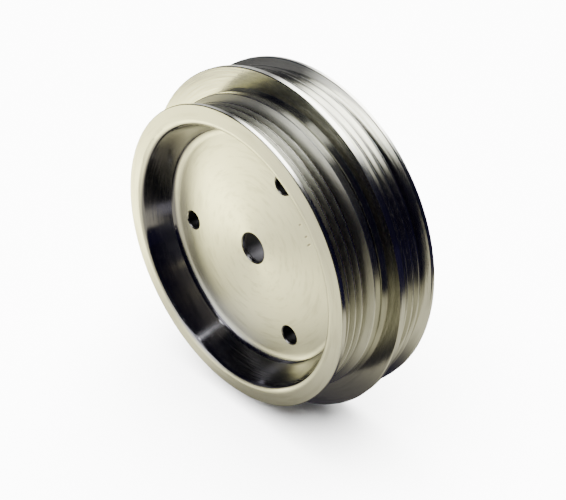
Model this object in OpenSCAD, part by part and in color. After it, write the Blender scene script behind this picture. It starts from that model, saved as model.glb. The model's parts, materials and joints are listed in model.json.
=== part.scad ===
// Stepped supercharger drive pulley: a small ribbed sheave stacked on a larger one.
// The axis runs along Y, the dished front faces -Y, +Z is up, and the origin is
// on the axis in the plane of the face that bolts to the drive hub.

/* [Front sheave] */
// Diameter over the front sheave's flanges
front_d = 126; // [110:1:150]
// Distance from the front face back to the rim of the step between the sheaves
front_w = 19.2; // [18.4:0.1:24]
// Width of the front flange's land
front_land = 1.7; // [1:0.1:4]
// Number of belt grooves in the front sheave
front_grooves = 4; // [3:1:4]
// Thickness of the front sheave's web
front_web = 6.5; // [5.5:0.1:9]

/* [Rear sheave] */
// Diameter over the rear sheave's flanges
rear_d = 145.4; // [140:0.2:170]
// Distance from the rim of the step back to the rear face
rear_w = 19.8; // [18.4:0.1:26]
// Width of the land in front of the first rear groove
rear_land = 2.4; // [1:0.1:3.2]
// Number of belt grooves in the rear sheave
rear_grooves = 4; // [3:1:4]
// Thickness of the rear sheave's web
rear_web = 5.5; // [5:0.1:8]
// Thickness of metal between the rear cavity and the groove roots
rear_wall = 7.2; // [4:0.1:12]
// Distance that the step face dishes in from its rim to its foot
step_dish = 1.2; // [0:0.1:2]

/* [Belt grooves] */
// Distance between neighbouring grooves
groove_pitch = 3.56; // [3.4:0.01:3.8]
// Included angle of a groove
groove_angle = 40; // [36:1:44]
// Width of the flat at the root of a groove
root_w = 0.95; // [0.6:0.05:1.1]
// Depth of a groove below the rib crests
groove_depth = 2.9; // [2.4:0.1:3.1]
// Height of the flanges above the rib crests
flange_rise = 2.25; // [1:0.05:3]
// Chamfer on the flange edges
edge_chamfer = 0.3; // [0.1:0.05:0.6]

/* [Dish] */
// Width of the flat ring around the dish
rim_face_w = 5.6; // [4:0.1:9]
// Radius of the rounded lip
lip_r = 2.6; // [1:0.1:3]
// Slope of the dish wall
dish_taper = 18; // [4:1:20]
// Radius of the fillet around the floor
floor_fillet_r = 3.6; // [2:0.1:5]

/* [Hub] */
// Radius of the register that centres the rear sheave on the front one
register_r = 47; // [46.6:0.1:49]
// Length of the register
register_l = 2.1; // [1.5:0.1:4]
// Bore of the pilot bush, a half inch
pilot_d = 12.7; // [10:0.1:14]
// Outside diameter of the pilot bush
bush_d = 18; // [16:0.5:24]
// Diameter of the hole in the lip that covers the bush
lip_hole_d = 13.3; // [13:0.1:15]
// Thickness of the lip that covers the bush
bush_lip = 1.5; // [1:0.1:2.5]
// Diameter of the circle of bolt holes
bolt_pcd = 78; // [66:1:84]
// Diameter of the bolt holes, for M8 bolts
bolt_hole_d = 8.4; // [6.6:0.1:9]
// Chamfer on the mouths of the holes in the dish floor
hole_chamfer = 0.4; // [0.1:0.1:0.8]
// Turn of the bolt holes about the axis
bolt_turn = 63; // [0:1:119]

/* [Joining hardware] */
// Thread diameter of the countersunk joining screws
screw_d = 5; // [4:0.5:5]
// Overall length of the joining screws
screw_l = 10; // [8.5:0.5:10]
// Width across the flats of the key socket in the screw heads
socket_af = 3; // [2.5:0.1:3]
// Diameter of the index dowels
dowel_d = 5; // [3:0.5:6]
// Length of the index dowels
dowel_l = 8; // [8:0.5:9]
// Diameter of the circle that the dowels lie on
dowel_pcd = 56; // [46:1:62]

/* [Fits] */
// Gap left between the two rims once the webs are clamped together
rim_gap = 0.1; // [0.05:0.05:0.3]
// Radial clearance of the register
register_clearance = 0.05; // [0.02:0.01:0.2]
// Radial clearance around the shanks of the screws in the rear web
shank_clearance = 0.25; // [0.1:0.05:0.4]
// Distance that screw heads and dowels lie below the hub face
head_sink = 0.2; // [0.1:0.05:0.5]

/* [Hidden] */

over = 1;                                // how far a cut runs past a face
half_angle = groove_angle / 2;
split_y = -rear_web;                     // plane where the two webs meet
floor_y = split_y - front_web;           // floor of the dish
foot_y = split_y - register_l;           // foot of the step, where the rims meet
step_y = foot_y - step_dish;             // rim of the step
front_y = step_y - front_w;              // front face
rear_y = step_y + rear_w;                // rear face
front_r = front_d / 2;
rear_r = rear_d / 2;
cavity_r = rear_r - flange_rise - groove_depth - rear_wall;
lip_y = floor_y + bush_lip;              // front end of the bush
screw_end_y = -head_sink - screw_l;
dowel_end_y = -head_sink - dowel_l;
socket_depth = 1.8;                      // depth of the key socket below the head's flat
bush_chamfer = 0.4;
cavity_fillet_r = 3;
mouth_chamfer = 0.8;
hole_count = 3;                          // bolt holes, with a joining screw between each two
screw_turn = bolt_turn + 180 / hole_count;
dowel_turn = screw_turn + 90;
head_r = screw_d;                        // a countersunk head is twice the thread
silver = [0.80, 0.80, 0.78];
steel = [0.55, 0.56, 0.58];

// Turns a profile drawn as [radius, y] about the Y axis.
module turned() {
    rotate([-90, 0, 0])
        rotate_extrude($fn = 180)
            children();
}

// Places its children on a circle about the Y axis, at one numbered place.
module on_circle(pcd, turn, index, count) {
    rotate([0, -turn - index * 360 / count, 0])
        translate([pcd / 2, 0, 0])
            children();
}

// A rod or hole along Y, between two y places.
module rod(d, y0, y1) {
    translate([0, y0, 0])
        rotate([-90, 0, 0])
            cylinder(d = d, h = y1 - y0, $fn = 64);
}

// Half of a groove's width at a height above its root.
function half_groove(h) = root_w / 2 + h * tan(half_angle);

// Blank of a sheave's rim: a rectangle with chamfered outer edges.
module rim_blank(r_in, r_out, y0, y1) {
    polygon([
        [r_in, y0], [r_out - edge_chamfer, y0], [r_out, y0 + edge_chamfer],
        [r_out, y1 - edge_chamfer], [r_out - edge_chamfer, y1], [r_in, y1]
    ]);
}

// The space a belt takes: straight-sided grooves up to the chamfered flanges, with
// the ribs between them cut down to a rounded crest that blends into both flanks.
module belt_track(r_flange, y_edge, count) {
    crest_r = r_flange - flange_rise;
    root_r = crest_r - groove_depth;
    mouth_h = flange_rise + groove_depth - edge_chamfer;
    top = mouth_h + edge_chamfer + over;
    first_y = y_edge + edge_chamfer + half_groove(mouth_h);
    last_y = first_y + (count - 1) * groove_pitch;
    far_edge = first_y + last_y - y_edge;
    mouth_r = r_flange - edge_chamfer;
    tip_r = (groove_pitch / 2 - half_groove(groove_depth)) / tan(45 - half_angle / 2);
    blend_r = crest_r - tip_r * (1 - sin(half_angle));
    difference() {
        union() {
            for (i = [0 : count - 1])
                translate([root_r, first_y + i * groove_pitch])
                    polygon([
                        [0, -root_w / 2], [top, -half_groove(top)],
                        [top, half_groove(top)], [0, root_w / 2]
                    ]);
            translate([blend_r, first_y])
                square([r_flange + over - blend_r, last_y - first_y]);
            polygon([
                [mouth_r, y_edge + edge_chamfer], [r_flange + over, y_edge - over],
                [r_flange + over, far_edge + over], [mouth_r, far_edge - edge_chamfer]
            ]);
        }
        for (i = [0 : count - 2])
            translate([crest_r - tip_r, first_y + (i + 0.5) * groove_pitch])
                circle(r = tip_r, $fn = 96);
    }
}

// Section of the dish: a sloping wall, rounded over at the lip and filleted at the floor.
module dish() {
    lip_c = [front_r - rim_face_w, front_y + lip_r];
    wall_n = [cos(dish_taper), sin(dish_taper)];
    wall_top = lip_c - lip_r * wall_n;
    fillet_y = floor_y - floor_fillet_r;
    wall_end_y = fillet_y + floor_fillet_r * sin(dish_taper);
    wall_end_r = wall_top[0] - (wall_end_y - wall_top[1]) * tan(dish_taper);
    fillet_c = [wall_end_r - floor_fillet_r * cos(dish_taper), fillet_y];
    difference() {
        polygon([
            [0, front_y - over], [lip_c[0], front_y - over], [lip_c[0], front_y], lip_c, wall_top,
            [wall_end_r, wall_end_y], fillet_c, [fillet_c[0], floor_y], [0, floor_y]
        ]);
        translate(lip_c)
            circle(r = lip_r, $fn = 96);
    }
    translate(fillet_c)
        circle(r = floor_fillet_r, $fn = 96);
}

// Section of the rear cavity: filleted where it meets the hub face, chamfered at its mouth.
module rear_cavity() {
    mouth_y = rear_y - mouth_chamfer;
    polygon([
        [0, 0], [cavity_r - cavity_fillet_r, 0], [cavity_r - cavity_fillet_r, cavity_fillet_r],
        [cavity_r, cavity_fillet_r], [cavity_r, mouth_y], [cavity_r + mouth_chamfer + over, rear_y + over],
        [0, rear_y + over]
    ]);
    translate([cavity_r - cavity_fillet_r, cavity_fillet_r])
        circle(r = cavity_fillet_r, $fn = 96);
}

// The space in front of the rear sheave: flat behind the front sheave, then
// sloping out to the rim of the step.
module step_face() {
    polygon([
        [0, step_y - over], [rear_r - edge_chamfer, step_y - over], [rear_r - edge_chamfer, step_y],
        [front_r, foot_y], [0, foot_y]
    ]);
}

// Bolt holes, screw holes and dowel holes, as the two webs share them.
module web_holes(screw_hole_d) {
    for (i = [0 : hole_count - 1]) {
        on_circle(bolt_pcd, bolt_turn, i, hole_count)
            rod(bolt_hole_d, floor_y - over, over);
        on_circle(bolt_pcd, screw_turn, i, hole_count)
            rod(screw_hole_d, screw_end_y, over);
    }
    for (i = [0 : 1])
        on_circle(dowel_pcd, dowel_turn, i, 2)
            rod(dowel_d, dowel_end_y, over);
}

// A chamfer around a hole of a given diameter at the dish floor.
module floor_mouth(d) {
    translate([0, floor_y - over, 0])
        rotate([-90, 0, 0])
            cylinder(r1 = d / 2 + hole_chamfer + over, r2 = d / 2, h = hole_chamfer + over, $fn = 64);
}

// A countersunk head, from its flat face down to the shank.
module screw_head() {
    translate([0, -head_sink, 0])
        rotate([90, 0, 0])
            cylinder(r1 = head_r, r2 = screw_d / 2, h = head_r - screw_d / 2, $fn = 64);
}

module front_sheave() {
    color(silver)
        difference() {
            turned()
                difference() {
                    union() {
                        rim_blank(0, front_r, front_y, foot_y - rim_gap);
                        translate([0, floor_y])
                            square([register_r, front_web]);
                    }
                    belt_track(front_r, front_y + front_land, front_grooves);
                    dish();
                }
            rod(lip_hole_d, floor_y - over, lip_y + over);
            floor_mouth(lip_hole_d);
            for (i = [0 : hole_count - 1])
                on_circle(bolt_pcd, bolt_turn, i, hole_count)
                    floor_mouth(bolt_hole_d);
            rod(bush_d, lip_y, split_y + over);
            web_holes(screw_d);
        }
}

module rear_sheave() {
    color(silver)
        difference() {
            turned()
                difference() {
                    rim_blank(0, rear_r, step_y, rear_y);
                    step_face();
                    belt_track(rear_r, step_y + rear_land, rear_grooves);
                    translate([0, foot_y - over])
                        square([register_r + register_clearance, register_l + over]);
                    rear_cavity();
                }
            rod(bush_d, split_y - over, over);
            web_holes(screw_d + 2 * shank_clearance);
            for (i = [0 : hole_count - 1])
                on_circle(bolt_pcd, screw_turn, i, hole_count) {
                    screw_head();
                    rod(2 * head_r, -head_sink, over);
                }
        }
}

module pilot_bush() {
    color(steel)
        turned()
            difference() {
                polygon([
                    [0, lip_y], [bush_d / 2, lip_y], [bush_d / 2, -bush_chamfer],
                    [bush_d / 2 - bush_chamfer, 0], [0, 0]
                ]);
                polygon([
                    [0, lip_y - over], [pilot_d / 2 + bush_chamfer + over, lip_y - over],
                    [pilot_d / 2, lip_y + bush_chamfer], [pilot_d / 2, -bush_chamfer],
                    [pilot_d / 2 + bush_chamfer + over, over], [0, over]
                ]);
            }
}

module joining_screw(index) {
    color(steel)
        on_circle(bolt_pcd, screw_turn, index, hole_count)
            difference() {
                union() {
                    screw_head();
                    rod(screw_d, screw_end_y, -head_sink - head_r + screw_d / 2);
                }
                translate([0, over, 0])
                    rotate([90, 0, 0])
                        cylinder(d = socket_af / cos(30), h = over + head_sink + socket_depth, $fn = 6);
            }
}

module index_dowel(index) {
    color(steel)
        on_circle(dowel_pcd, dowel_turn, index, 2)
            rod(dowel_d, dowel_end_y, -head_sink);
}

front_sheave();
rear_sheave();
pilot_bush();
index_dowel(0);  // index_dowel_1
index_dowel(1);  // index_dowel_2
joining_screw(0);  // joining_screw_1
joining_screw(1);  // joining_screw_2
joining_screw(2);  // joining_screw_3
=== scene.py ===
import json
import math

import bmesh
import bpy
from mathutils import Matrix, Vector


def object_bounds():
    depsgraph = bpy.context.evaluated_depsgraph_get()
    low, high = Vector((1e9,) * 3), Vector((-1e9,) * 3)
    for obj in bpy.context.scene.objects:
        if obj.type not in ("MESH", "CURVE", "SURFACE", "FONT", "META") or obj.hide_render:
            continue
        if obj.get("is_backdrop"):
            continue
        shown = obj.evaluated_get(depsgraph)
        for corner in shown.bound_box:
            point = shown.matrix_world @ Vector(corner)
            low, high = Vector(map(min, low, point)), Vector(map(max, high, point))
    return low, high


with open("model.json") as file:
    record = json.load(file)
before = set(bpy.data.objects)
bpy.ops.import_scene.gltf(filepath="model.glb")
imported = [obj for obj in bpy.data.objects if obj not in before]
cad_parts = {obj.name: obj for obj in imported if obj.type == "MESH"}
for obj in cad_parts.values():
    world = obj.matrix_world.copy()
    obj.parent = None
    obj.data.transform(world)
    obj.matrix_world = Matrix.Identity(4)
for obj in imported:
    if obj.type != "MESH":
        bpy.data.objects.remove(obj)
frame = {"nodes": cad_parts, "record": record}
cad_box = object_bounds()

# Camera. The pulley is seen from its right and a little above, from so close
# that its near rim looms. It is aimed a little off the middle, at view_target.
view_azimuth = math.radians(45.6)
view_elevation = math.radians(30.86)
view_target = Vector((0.0148, -0.0092, 0.0043))
view_distance = 0.2837
view_back = Vector((
    math.sin(view_azimuth) * math.cos(view_elevation),
    -math.cos(view_azimuth) * math.cos(view_elevation),
    math.sin(view_elevation),
))
camera_data = bpy.data.cameras.new("camera")
camera_data.lens = 45.8
camera_data.clip_start = 0.01
camera = bpy.data.objects.new("camera", camera_data)
camera.location = view_target + view_distance * view_back
camera.rotation_euler = (math.pi / 2 - view_elevation, 0, view_azimuth)
bpy.context.scene.collection.objects.link(camera)
bpy.context.scene.camera = camera


# Table and lamp. The pulley stands on its rear flange on a pale, matt table top. A
# broad lamp overhead throws the soft shadow under the rims. The metal doesn't mirror
# the table itself: it mirrors the sheet of light that lies on it, further down.
table_size = 8
table_gap = 0.0001
table_z = cad_box[0][2] - table_gap
table_white = (0.93, 0.93, 0.93, 1)
lamp_spread = math.radians(75)


def stage_piece(name, form, material):
    """Puts a finished form on the stage, in its material. It isn't part of the pulley."""
    mesh = bpy.data.meshes.new(name)
    form.to_mesh(mesh)
    form.free()
    mesh.materials.append(material)
    piece = bpy.data.objects.new(name, mesh)
    bpy.context.scene.collection.objects.link(piece)
    piece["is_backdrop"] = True
    return piece


def flat_sheet(name, z, material):
    """A square sheet of the table's size, lying at a height."""
    form = bmesh.new()
    bmesh.ops.create_grid(form, x_segments=1, y_segments=1, size=table_size / 2)
    bmesh.ops.translate(form, verts=form.verts, vec=(0, 0, z))
    return stage_piece(name, form, material)


def towards(azimuth, elevation):
    """Unit vector; azimuth 0 is in front of the pulley (-Y), and 90 is to its right (+X)."""
    a, e = math.radians(azimuth), math.radians(elevation)
    return Vector((math.sin(a) * math.cos(e), -math.cos(a) * math.cos(e), math.sin(e)))


table_top = bpy.data.materials.new("pale table top")
table_top.use_nodes = True
table_shader = table_top.node_tree.nodes["Principled BSDF"]
table_shader.inputs["Base Color"].default_value = table_white
table_shader.inputs["Roughness"].default_value = 0.9
table_shader.inputs["Specular IOR Level"].default_value = 0.1
table = flat_sheet("table", table_z, table_top)
table.visible_glossy = False

lamp_data = bpy.data.lights.new("ceiling lamp", "SUN")
lamp_data.energy = 38
lamp_data.angle = lamp_spread
lamp = bpy.data.objects.new("ceiling lamp", lamp_data)
lamp.rotation_euler = towards(-25, 82).to_track_quat("Z", "Y").to_euler()
lamp.visible_glossy = False
bpy.context.scene.collection.objects.link(lamp)


# Backdrop. A pale cloth all round, far off, that only fills the view behind the table.
# It glows evenly, as bright as the table under its lamp, and the metal doesn't mirror it.
backdrop_cloth = bpy.data.materials.new("pale backdrop")
backdrop_cloth.use_nodes = True
cloth_shader = backdrop_cloth.node_tree.nodes["Principled BSDF"]
cloth_shader.inputs["Base Color"].default_value = (0, 0, 0, 1)
cloth_shader.inputs["Specular IOR Level"].default_value = 0
cloth_shader.inputs["Emission Color"].default_value = (1, 1, 1, 1)
cloth_shader.inputs["Emission Strength"].default_value = 11
backdrop_form = bmesh.new()
bmesh.ops.create_uvsphere(backdrop_form, u_segments=48, v_segments=24, radius=table_size / 2)
backdrop = stage_piece("backdrop", backdrop_form, backdrop_cloth)
backdrop.visible_diffuse = False
backdrop.visible_glossy = False
backdrop.visible_shadow = False


# Light on the table, as the metal mirrors it. A long cream streak lies to the left
# and a fainter light all round, shaded near the pulley. Past the right edge it is dark.
class Recipe:
    """Adds shader nodes to one node tree; values are numbers or sockets."""

    def __init__(self, tree):
        self.tree = tree

    def node(self, kind, *values, **settings):
        made = self.tree.nodes.new(kind)
        for setting, choice in settings.items():
            setattr(made, setting, choice)
        for index, value in enumerate(values):
            self.feed(made.inputs[index], value)
        return made

    def feed(self, socket, value):
        if isinstance(value, bpy.types.NodeSocket):
            self.tree.links.new(value, socket)
        else:
            socket.default_value = value

    def math(self, operation, *values):
        return self.node("ShaderNodeMath", *values, operation=operation).outputs[0]

    def fade(self, value, start, end, low=0.0, high=1.0):
        """Goes smoothly from low to high as the value goes from start to end."""
        return self.node("ShaderNodeMapRange", value, start, end, low, high,
                         interpolation_type="SMOOTHSTEP").outputs[0]

    def place(self, kind="Object"):
        """The point's own x, y and z."""
        point = self.node("ShaderNodeTexCoord").outputs[kind]
        return self.node("ShaderNodeSeparateXYZ", point).outputs[:]

    def times(self, a, b):
        return self.math("MULTIPLY", a, b)

    def length(self, a, b):
        return self.math("SQRT", self.math("ADD", self.times(a, a), self.times(b, b)))

    def spot(self, across, up, centre, length, width, lean):
        """1 in the middle of a long oval, fading to 0 at its edge; lean is in degrees."""
        off_across = self.math("SUBTRACT", across, centre[0])
        off_up = self.math("SUBTRACT", up, centre[1])
        cosine, sine = math.cos(math.radians(lean)), math.sin(math.radians(lean))
        along = self.math("ADD", self.times(off_across, cosine), self.times(off_up, sine))
        aside = self.math("SUBTRACT", self.times(off_up, cosine), self.times(off_across, sine))
        along = self.math("DIVIDE", along, length / 2)
        aside = self.math("DIVIDE", aside, width / 2)
        return self.fade(self.length(along, aside), 1.0, 0.4)

    def tint(self, amount, colour, strength=1.0, below=None):
        """A colour times an amount, added to what is already below it."""
        scaled = self.node("ShaderNodeVectorMath", operation="SCALE")
        scaled.inputs[0].default_value = [strength * part for part in colour]
        self.feed(scaled.inputs["Scale"], amount)
        if below is None:
            return scaled.outputs[0]
        added = self.node("ShaderNodeVectorMath", scaled.outputs[0], below, operation="ADD")
        return added.outputs[0]


cream = (1.0, 0.94, 0.45)
pale_cream = (1.0, 0.95, 0.68)
daylight = (1.0, 1.0, 0.98)
night = (0.30, 0.25, 1.0)
table_edge_x = (0.21, 0.15)
foot_shade = 0.85

sheet_material = bpy.data.materials.new("light on the table")
sheet_material.use_nodes = True
sheet_material.node_tree.nodes.clear()
shine = Recipe(sheet_material.node_tree)
shine_x, shine_y = shine.place()[:2]


def pool(x, y, inner, outer):
    """1 inside a round pool of light, fading to 0 at its outer radius."""
    off_x = shine.math("SUBTRACT", shine_x, x)
    off_y = shine.math("SUBTRACT", shine_y, y)
    return shine.fade(shine.length(off_x, off_y), outer, inner)


def shade(x, y):
    """What is left of the light under the pulley, near a point where it meets the table."""
    return shine.math("SUBTRACT", 1, shine.times(pool(x, y, 0.03, 0.075), foot_shade))


under_pulley = shine.times(shade(0.02, -0.01), shade(0.035, 0.02))
on_table = shine.times(shine.fade(shine_x, *table_edge_x), under_pulley)
open_side = shine.fade(shine_x, 0.05, -0.01, 1.0, 1.25)
streak = shine.spot(
    shine_x, shine_y, centre=(-0.205, -0.128), length=0.32, width=0.105, lean=22)
glow = shine.tint(shine.times(on_table, open_side), pale_cream)
for part, colour, strength in (
    (pool(-0.045, -0.092, 0.01, 0.06), cream, 2.6),
    (streak, cream, 9.5),
    (pool(-0.50, -0.36, 0.08, 0.26), cream, 6.0),
    (1.0, night, 0.04),
):
    glow = shine.tint(part, colour, strength, glow)
shine.node("ShaderNodeOutputMaterial", shine.node("ShaderNodeEmission", glow).outputs[0])

lit_sheet = flat_sheet("light on the table", table_z + table_gap / 2, sheet_material)
lit_sheet.visible_camera = False
lit_sheet.visible_diffuse = False
lit_sheet.visible_shadow = False


# Room. Dark, with soft-edged panels of light. A broad window behind gives the
# white streaks on the ribs, and fainter ones in front light the step between the
# tracks. Angles are in degrees, as the pulley sees them.
world = bpy.data.worlds.new("room")
world.use_nodes = True
bpy.context.scene.world = world
room = Recipe(world.node_tree)
room_x, room_y, room_z = room.place("Generated")
room_turn = room.math("ARCTAN2", room_x, room.times(room_y, -1))
room_azimuth = room.times(room_turn, math.degrees(1))
room_elevation = room.times(room.math("ARCSINE", room_z), math.degrees(1))


def panel(azimuth, elevation, width, height, soft):
    """1 inside a panel in the room, fading to 0 across a soft edge."""
    turned = room.math("WRAP", room.math("SUBTRACT", room_azimuth, azimuth), 180, -180)
    across = room.math("ABSOLUTE", turned)
    up = room.math("ABSOLUTE", room.math("SUBTRACT", room_elevation, elevation))
    inside_across = room.fade(across, (width + soft) / 2, (width - soft) / 2)
    inside_up = room.fade(up, (height + soft) / 2, (height - soft) / 2)
    return room.times(inside_across, inside_up)


room_panels = {
    "window": (panel(-172, 42, 54, 34, 22), 14),
    "left wall": (panel(-130, 0, 30, 50, 22), 1.0),
    "front left wall": (panel(-65, 12, 60, 22, 22), 0.2),
    "front wall": (panel(0, 42, 70, 50, 30), 0.06),
    "front horizon": (panel(-16, 8, 34, 18, 14), 3.0),
    "high front": (panel(0, 57, 30, 14, 12), 2.0),
    "front lamp": (panel(-13, 34, 36, 12, 12), 4.0),
    "ceiling lamp": (panel(12, 78, 16, 5, 4), 16),
}
room_light = room.tint(1.0, night, 0.02)
for inside, strength in room_panels.values():
    room_light = room.tint(inside, daylight, strength, room_light)
room.feed(world.node_tree.nodes["Background"].inputs["Color"], room_light)


# Front sheave. Turned from aluminium bar and left bright, so fine rings and broken arcs
# smear the light. The flat faces are duller. Painted shade darkens the colour of the dish
# wall and of the walls of the drilled holes. Use has nicked the dish floor.
class Metal(Recipe):
    """One metal material with the turned rings of a piece about the Y axis."""

    def __init__(self, name, anisotropy):
        material = bpy.data.materials.new(name)
        material.use_nodes = True
        super().__init__(material.node_tree)
        self.material = material
        self.shader = material.node_tree.nodes["Principled BSDF"]
        self.shader.inputs["Metallic"].default_value = 1
        self.shader.inputs["Anisotropic"].default_value = anisotropy
        self.shader.inputs["Anisotropic Rotation"].default_value = 0.25
        self.point = self.node("ShaderNodeTexCoord").outputs["Object"]
        self.x, self.y, self.z = self.node("ShaderNodeSeparateXYZ", self.point).outputs
        self.radius = self.length(self.x, self.z)
        along_ring = self.node("ShaderNodeCombineXYZ", self.z, 0.0, self.times(self.x, -1))
        self.feed(self.shader.inputs["Tangent"], along_ring.outputs[0])
        facing = self.node("ShaderNodeNewGeometry").outputs["Normal"]
        facing_y = self.node("ShaderNodeSeparateXYZ", facing).outputs["Y"]
        self.flatness = self.math("ABSOLUTE", facing_y)

    def rings(self, stretch, pitch, detail):
        """Noise drawn out around the axis, so that it lies in rings and broken arcs."""
        around_x = self.times(self.math("DIVIDE", self.x, self.radius), stretch)
        around_z = self.times(self.math("DIVIDE", self.z, self.radius), stretch)
        outwards = self.times(self.radius, 1 / pitch)
        drawn_out = self.node("ShaderNodeCombineXYZ", around_x, around_z, outwards)
        noise = self.node("ShaderNodeTexNoise", noise_dimensions="4D")
        self.feed(noise.inputs["Vector"], drawn_out.outputs[0])
        self.feed(noise.inputs["W"], self.times(self.y, 1 / pitch))
        noise.inputs["Scale"].default_value = 1
        noise.inputs["Detail"].default_value = detail
        return noise.outputs["Fac"]

    def mottle(self, size, detail):
        """Cloudy patches of about one size."""
        noise = self.node("ShaderNodeTexNoise")
        self.feed(noise.inputs["Vector"], self.point)
        noise.inputs["Scale"].default_value = 1 / size
        noise.inputs["Detail"].default_value = detail
        return noise.outputs["Fac"]

    def blend(self, factor, low, high):
        """Goes from one colour to another with the factor."""
        mix = self.node("ShaderNodeMix", data_type="RGBA")
        self.feed(mix.inputs["Factor"], factor)
        for socket, value in ((mix.inputs[6], low), (mix.inputs[7], high)):
            self.feed(socket, (*value, 1) if isinstance(value, tuple) else value)
        return mix.outputs[2]

    def vary(self, start, *parts):
        """A start value with several weighted noises added, each centred on zero."""
        total = start
        for noise, weight in parts:
            offset = self.times(self.math("SUBTRACT", noise, 0.5), weight)
            total = self.math("ADD", total, offset)
        return total

    def finish(self, colour, roughness, height, depth):
        """Joins everything to the shader; depth is how deep the marks are cut."""
        self.feed(self.shader.inputs["Base Color"], colour)
        self.feed(self.shader.inputs["Roughness"], roughness)
        bump = self.node("ShaderNodeBump")
        bump.inputs["Strength"].default_value = 1
        bump.inputs["Distance"].default_value = depth
        self.feed(bump.inputs["Height"], height)
        self.feed(self.shader.inputs["Normal"], bump.outputs[0])
        return self.material


ring_pitch = 0.0005
ring_depth = 0.000018
arc_pitch = 0.0016
patch_size = 0.03
bright = (0.65, 0.65, 0.59)
dulled = (0.57, 0.57, 0.51)
arc_colour = (0.50, 0.50, 0.45)

dish_wall_r = (0.0575, 0.0555)
# Painted shade: the dish wall is coloured darker than the rest of the metal.
painted_dish_wall_shade = (0.25, 0.245, 0.27)

nick_width = 0.0012
nick_lean = 42
nick_colour = (0.22, 0.21, 0.19)

mounts = {mount["name"]: mount["dims"] for mount in frame["record"]["mounts"]}
hub_bolts = mounts["hub_bolts"]
bolt_circle_r = hub_bolts["pcd_mm"] / 2000
bolt_hole_r = hub_bolts["hole_r_mm"] / 1000
bolt_hole_edge = 0.0002
bolt_turn = math.radians(63)
half_a_third = math.radians(60)
# Painted shade: the walls of the bolt holes are coloured near black. They are made rougher too.
painted_hole_shade = (0.025, 0.024, 0.026)
hole_roughness = 0.6


def drilled(metal):
    """1 on the walls of the three bolt holes, and 0 elsewhere."""
    turn = metal.math("SUBTRACT", metal.math("ARCTAN2", metal.z, metal.x), bolt_turn)
    turn = metal.math("WRAP", turn, half_a_third, -half_a_third)
    outwards = metal.times(metal.radius, metal.math("COSINE", turn))
    outwards = metal.math("SUBTRACT", outwards, bolt_circle_r)
    around = metal.times(metal.radius, metal.math("SINE", turn))
    near = metal.fade(metal.length(outwards, around), bolt_hole_r + bolt_hole_edge, bolt_hole_r)
    return metal.times(near, metal.fade(metal.flatness, 0.5, 0.2))


def turned_aluminium(name, smear, face_roughness, wall_roughness, nicks=()):
    """Bright turned aluminium with painted shade in the drilled holes and on the dish wall, and
    nicks as x, z and length.
    """
    metal = Metal(name, smear)
    rings = metal.rings(stretch=1.2, pitch=ring_pitch, detail=3)
    arcs = metal.rings(stretch=4, pitch=arc_pitch, detail=2)
    patches = metal.mottle(size=patch_size, detail=3)
    face = metal.fade(metal.flatness, 0.45, 0.95)
    roughness = metal.fade(face, 0, 1, wall_roughness, face_roughness)
    roughness = metal.vary(roughness, (patches, 0.08), (arcs, 0.05))
    colour = metal.blend(patches, bright, dulled)
    colour = metal.blend(metal.fade(arcs, 0.48, 0.70, 0, 0.8), colour, arc_colour)
    height = metal.vary(0.0, (rings, 1.0), (arcs, 1.6))
    for x, z, length in nicks:
        nick = metal.spot(metal.x, metal.z, (x, z), length, nick_width, nick_lean)
        nick = metal.times(nick, face)
        colour = metal.blend(metal.times(nick, 0.9), colour, nick_colour)
        height = metal.math("SUBTRACT", height, metal.times(nick, 4))
    # Painted shade on the dish wall: its colour is blended towards the darker one.
    dish_wall_shade_mask = metal.times(metal.fade(metal.radius, *dish_wall_r), metal.fade(face, 0.9, 0.3))
    colour = metal.blend(dish_wall_shade_mask, colour, painted_dish_wall_shade)
    # Painted shade in the bolt holes, which are also made rougher.
    in_hole = drilled(metal)
    colour = metal.blend(in_hole, colour, painted_hole_shade)
    roughness = metal.math("MAXIMUM", roughness, metal.times(in_hole, hole_roughness))
    return metal.finish(colour, roughness, height, ring_depth)


def wear(node_name, material):
    """Gives a carried-over piece its material."""
    slots = frame["nodes"][node_name].data.materials
    slots.clear()
    slots.append(material)


dish_nicks = [(0.0266, 0.0213, 0.0022), (0.0298, 0.0175, 0.0024), (0.0314, 0.0147, 0.0034)]
wear("front_sheave", turned_aluminium("satin turned aluminium", 0.7, 0.33, 0.13, dish_nicks))


# Rear sheave. Turned from the same aluminium and screwed to the back of the front one.
# Its step face, which shows round the front sheave, has a finer and brighter cut.
wear("rear_sheave", turned_aluminium("bright turned aluminium", 0.5, 0.13, 0.16))


# Pilot bush, dowels and screws. All are steel, darker and duller than the sheaves. The
# bush is pressed into the bore, the dowels line up the two sheaves, and the three
# countersunk screws clamp them together from behind.
steel = Metal("bored steel", 0.3)
steel_marks = steel.rings(stretch=1.0, pitch=0.0004, detail=2)
steel_colour = steel.blend(steel_marks, (0.09, 0.088, 0.10), (0.15, 0.145, 0.155))
steel_roughness = steel.vary(0.72, (steel_marks, 0.15))
dark_steel = steel.finish(steel_colour, steel_roughness, steel_marks, 0.00001)
steel_pieces = ["pilot_bush"]
steel_pieces += [f"index_dowel_{number}" for number in (1, 2)]
steel_pieces += [f"joining_screw_{number}" for number in (1, 2, 3)]
for steel_piece in steel_pieces:
    wear(steel_piece, dark_steel)


boxes = {"cad": cad_box, "visual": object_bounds()}
boxes = {name: [list(corner) for corner in box] for name, box in boxes.items()}
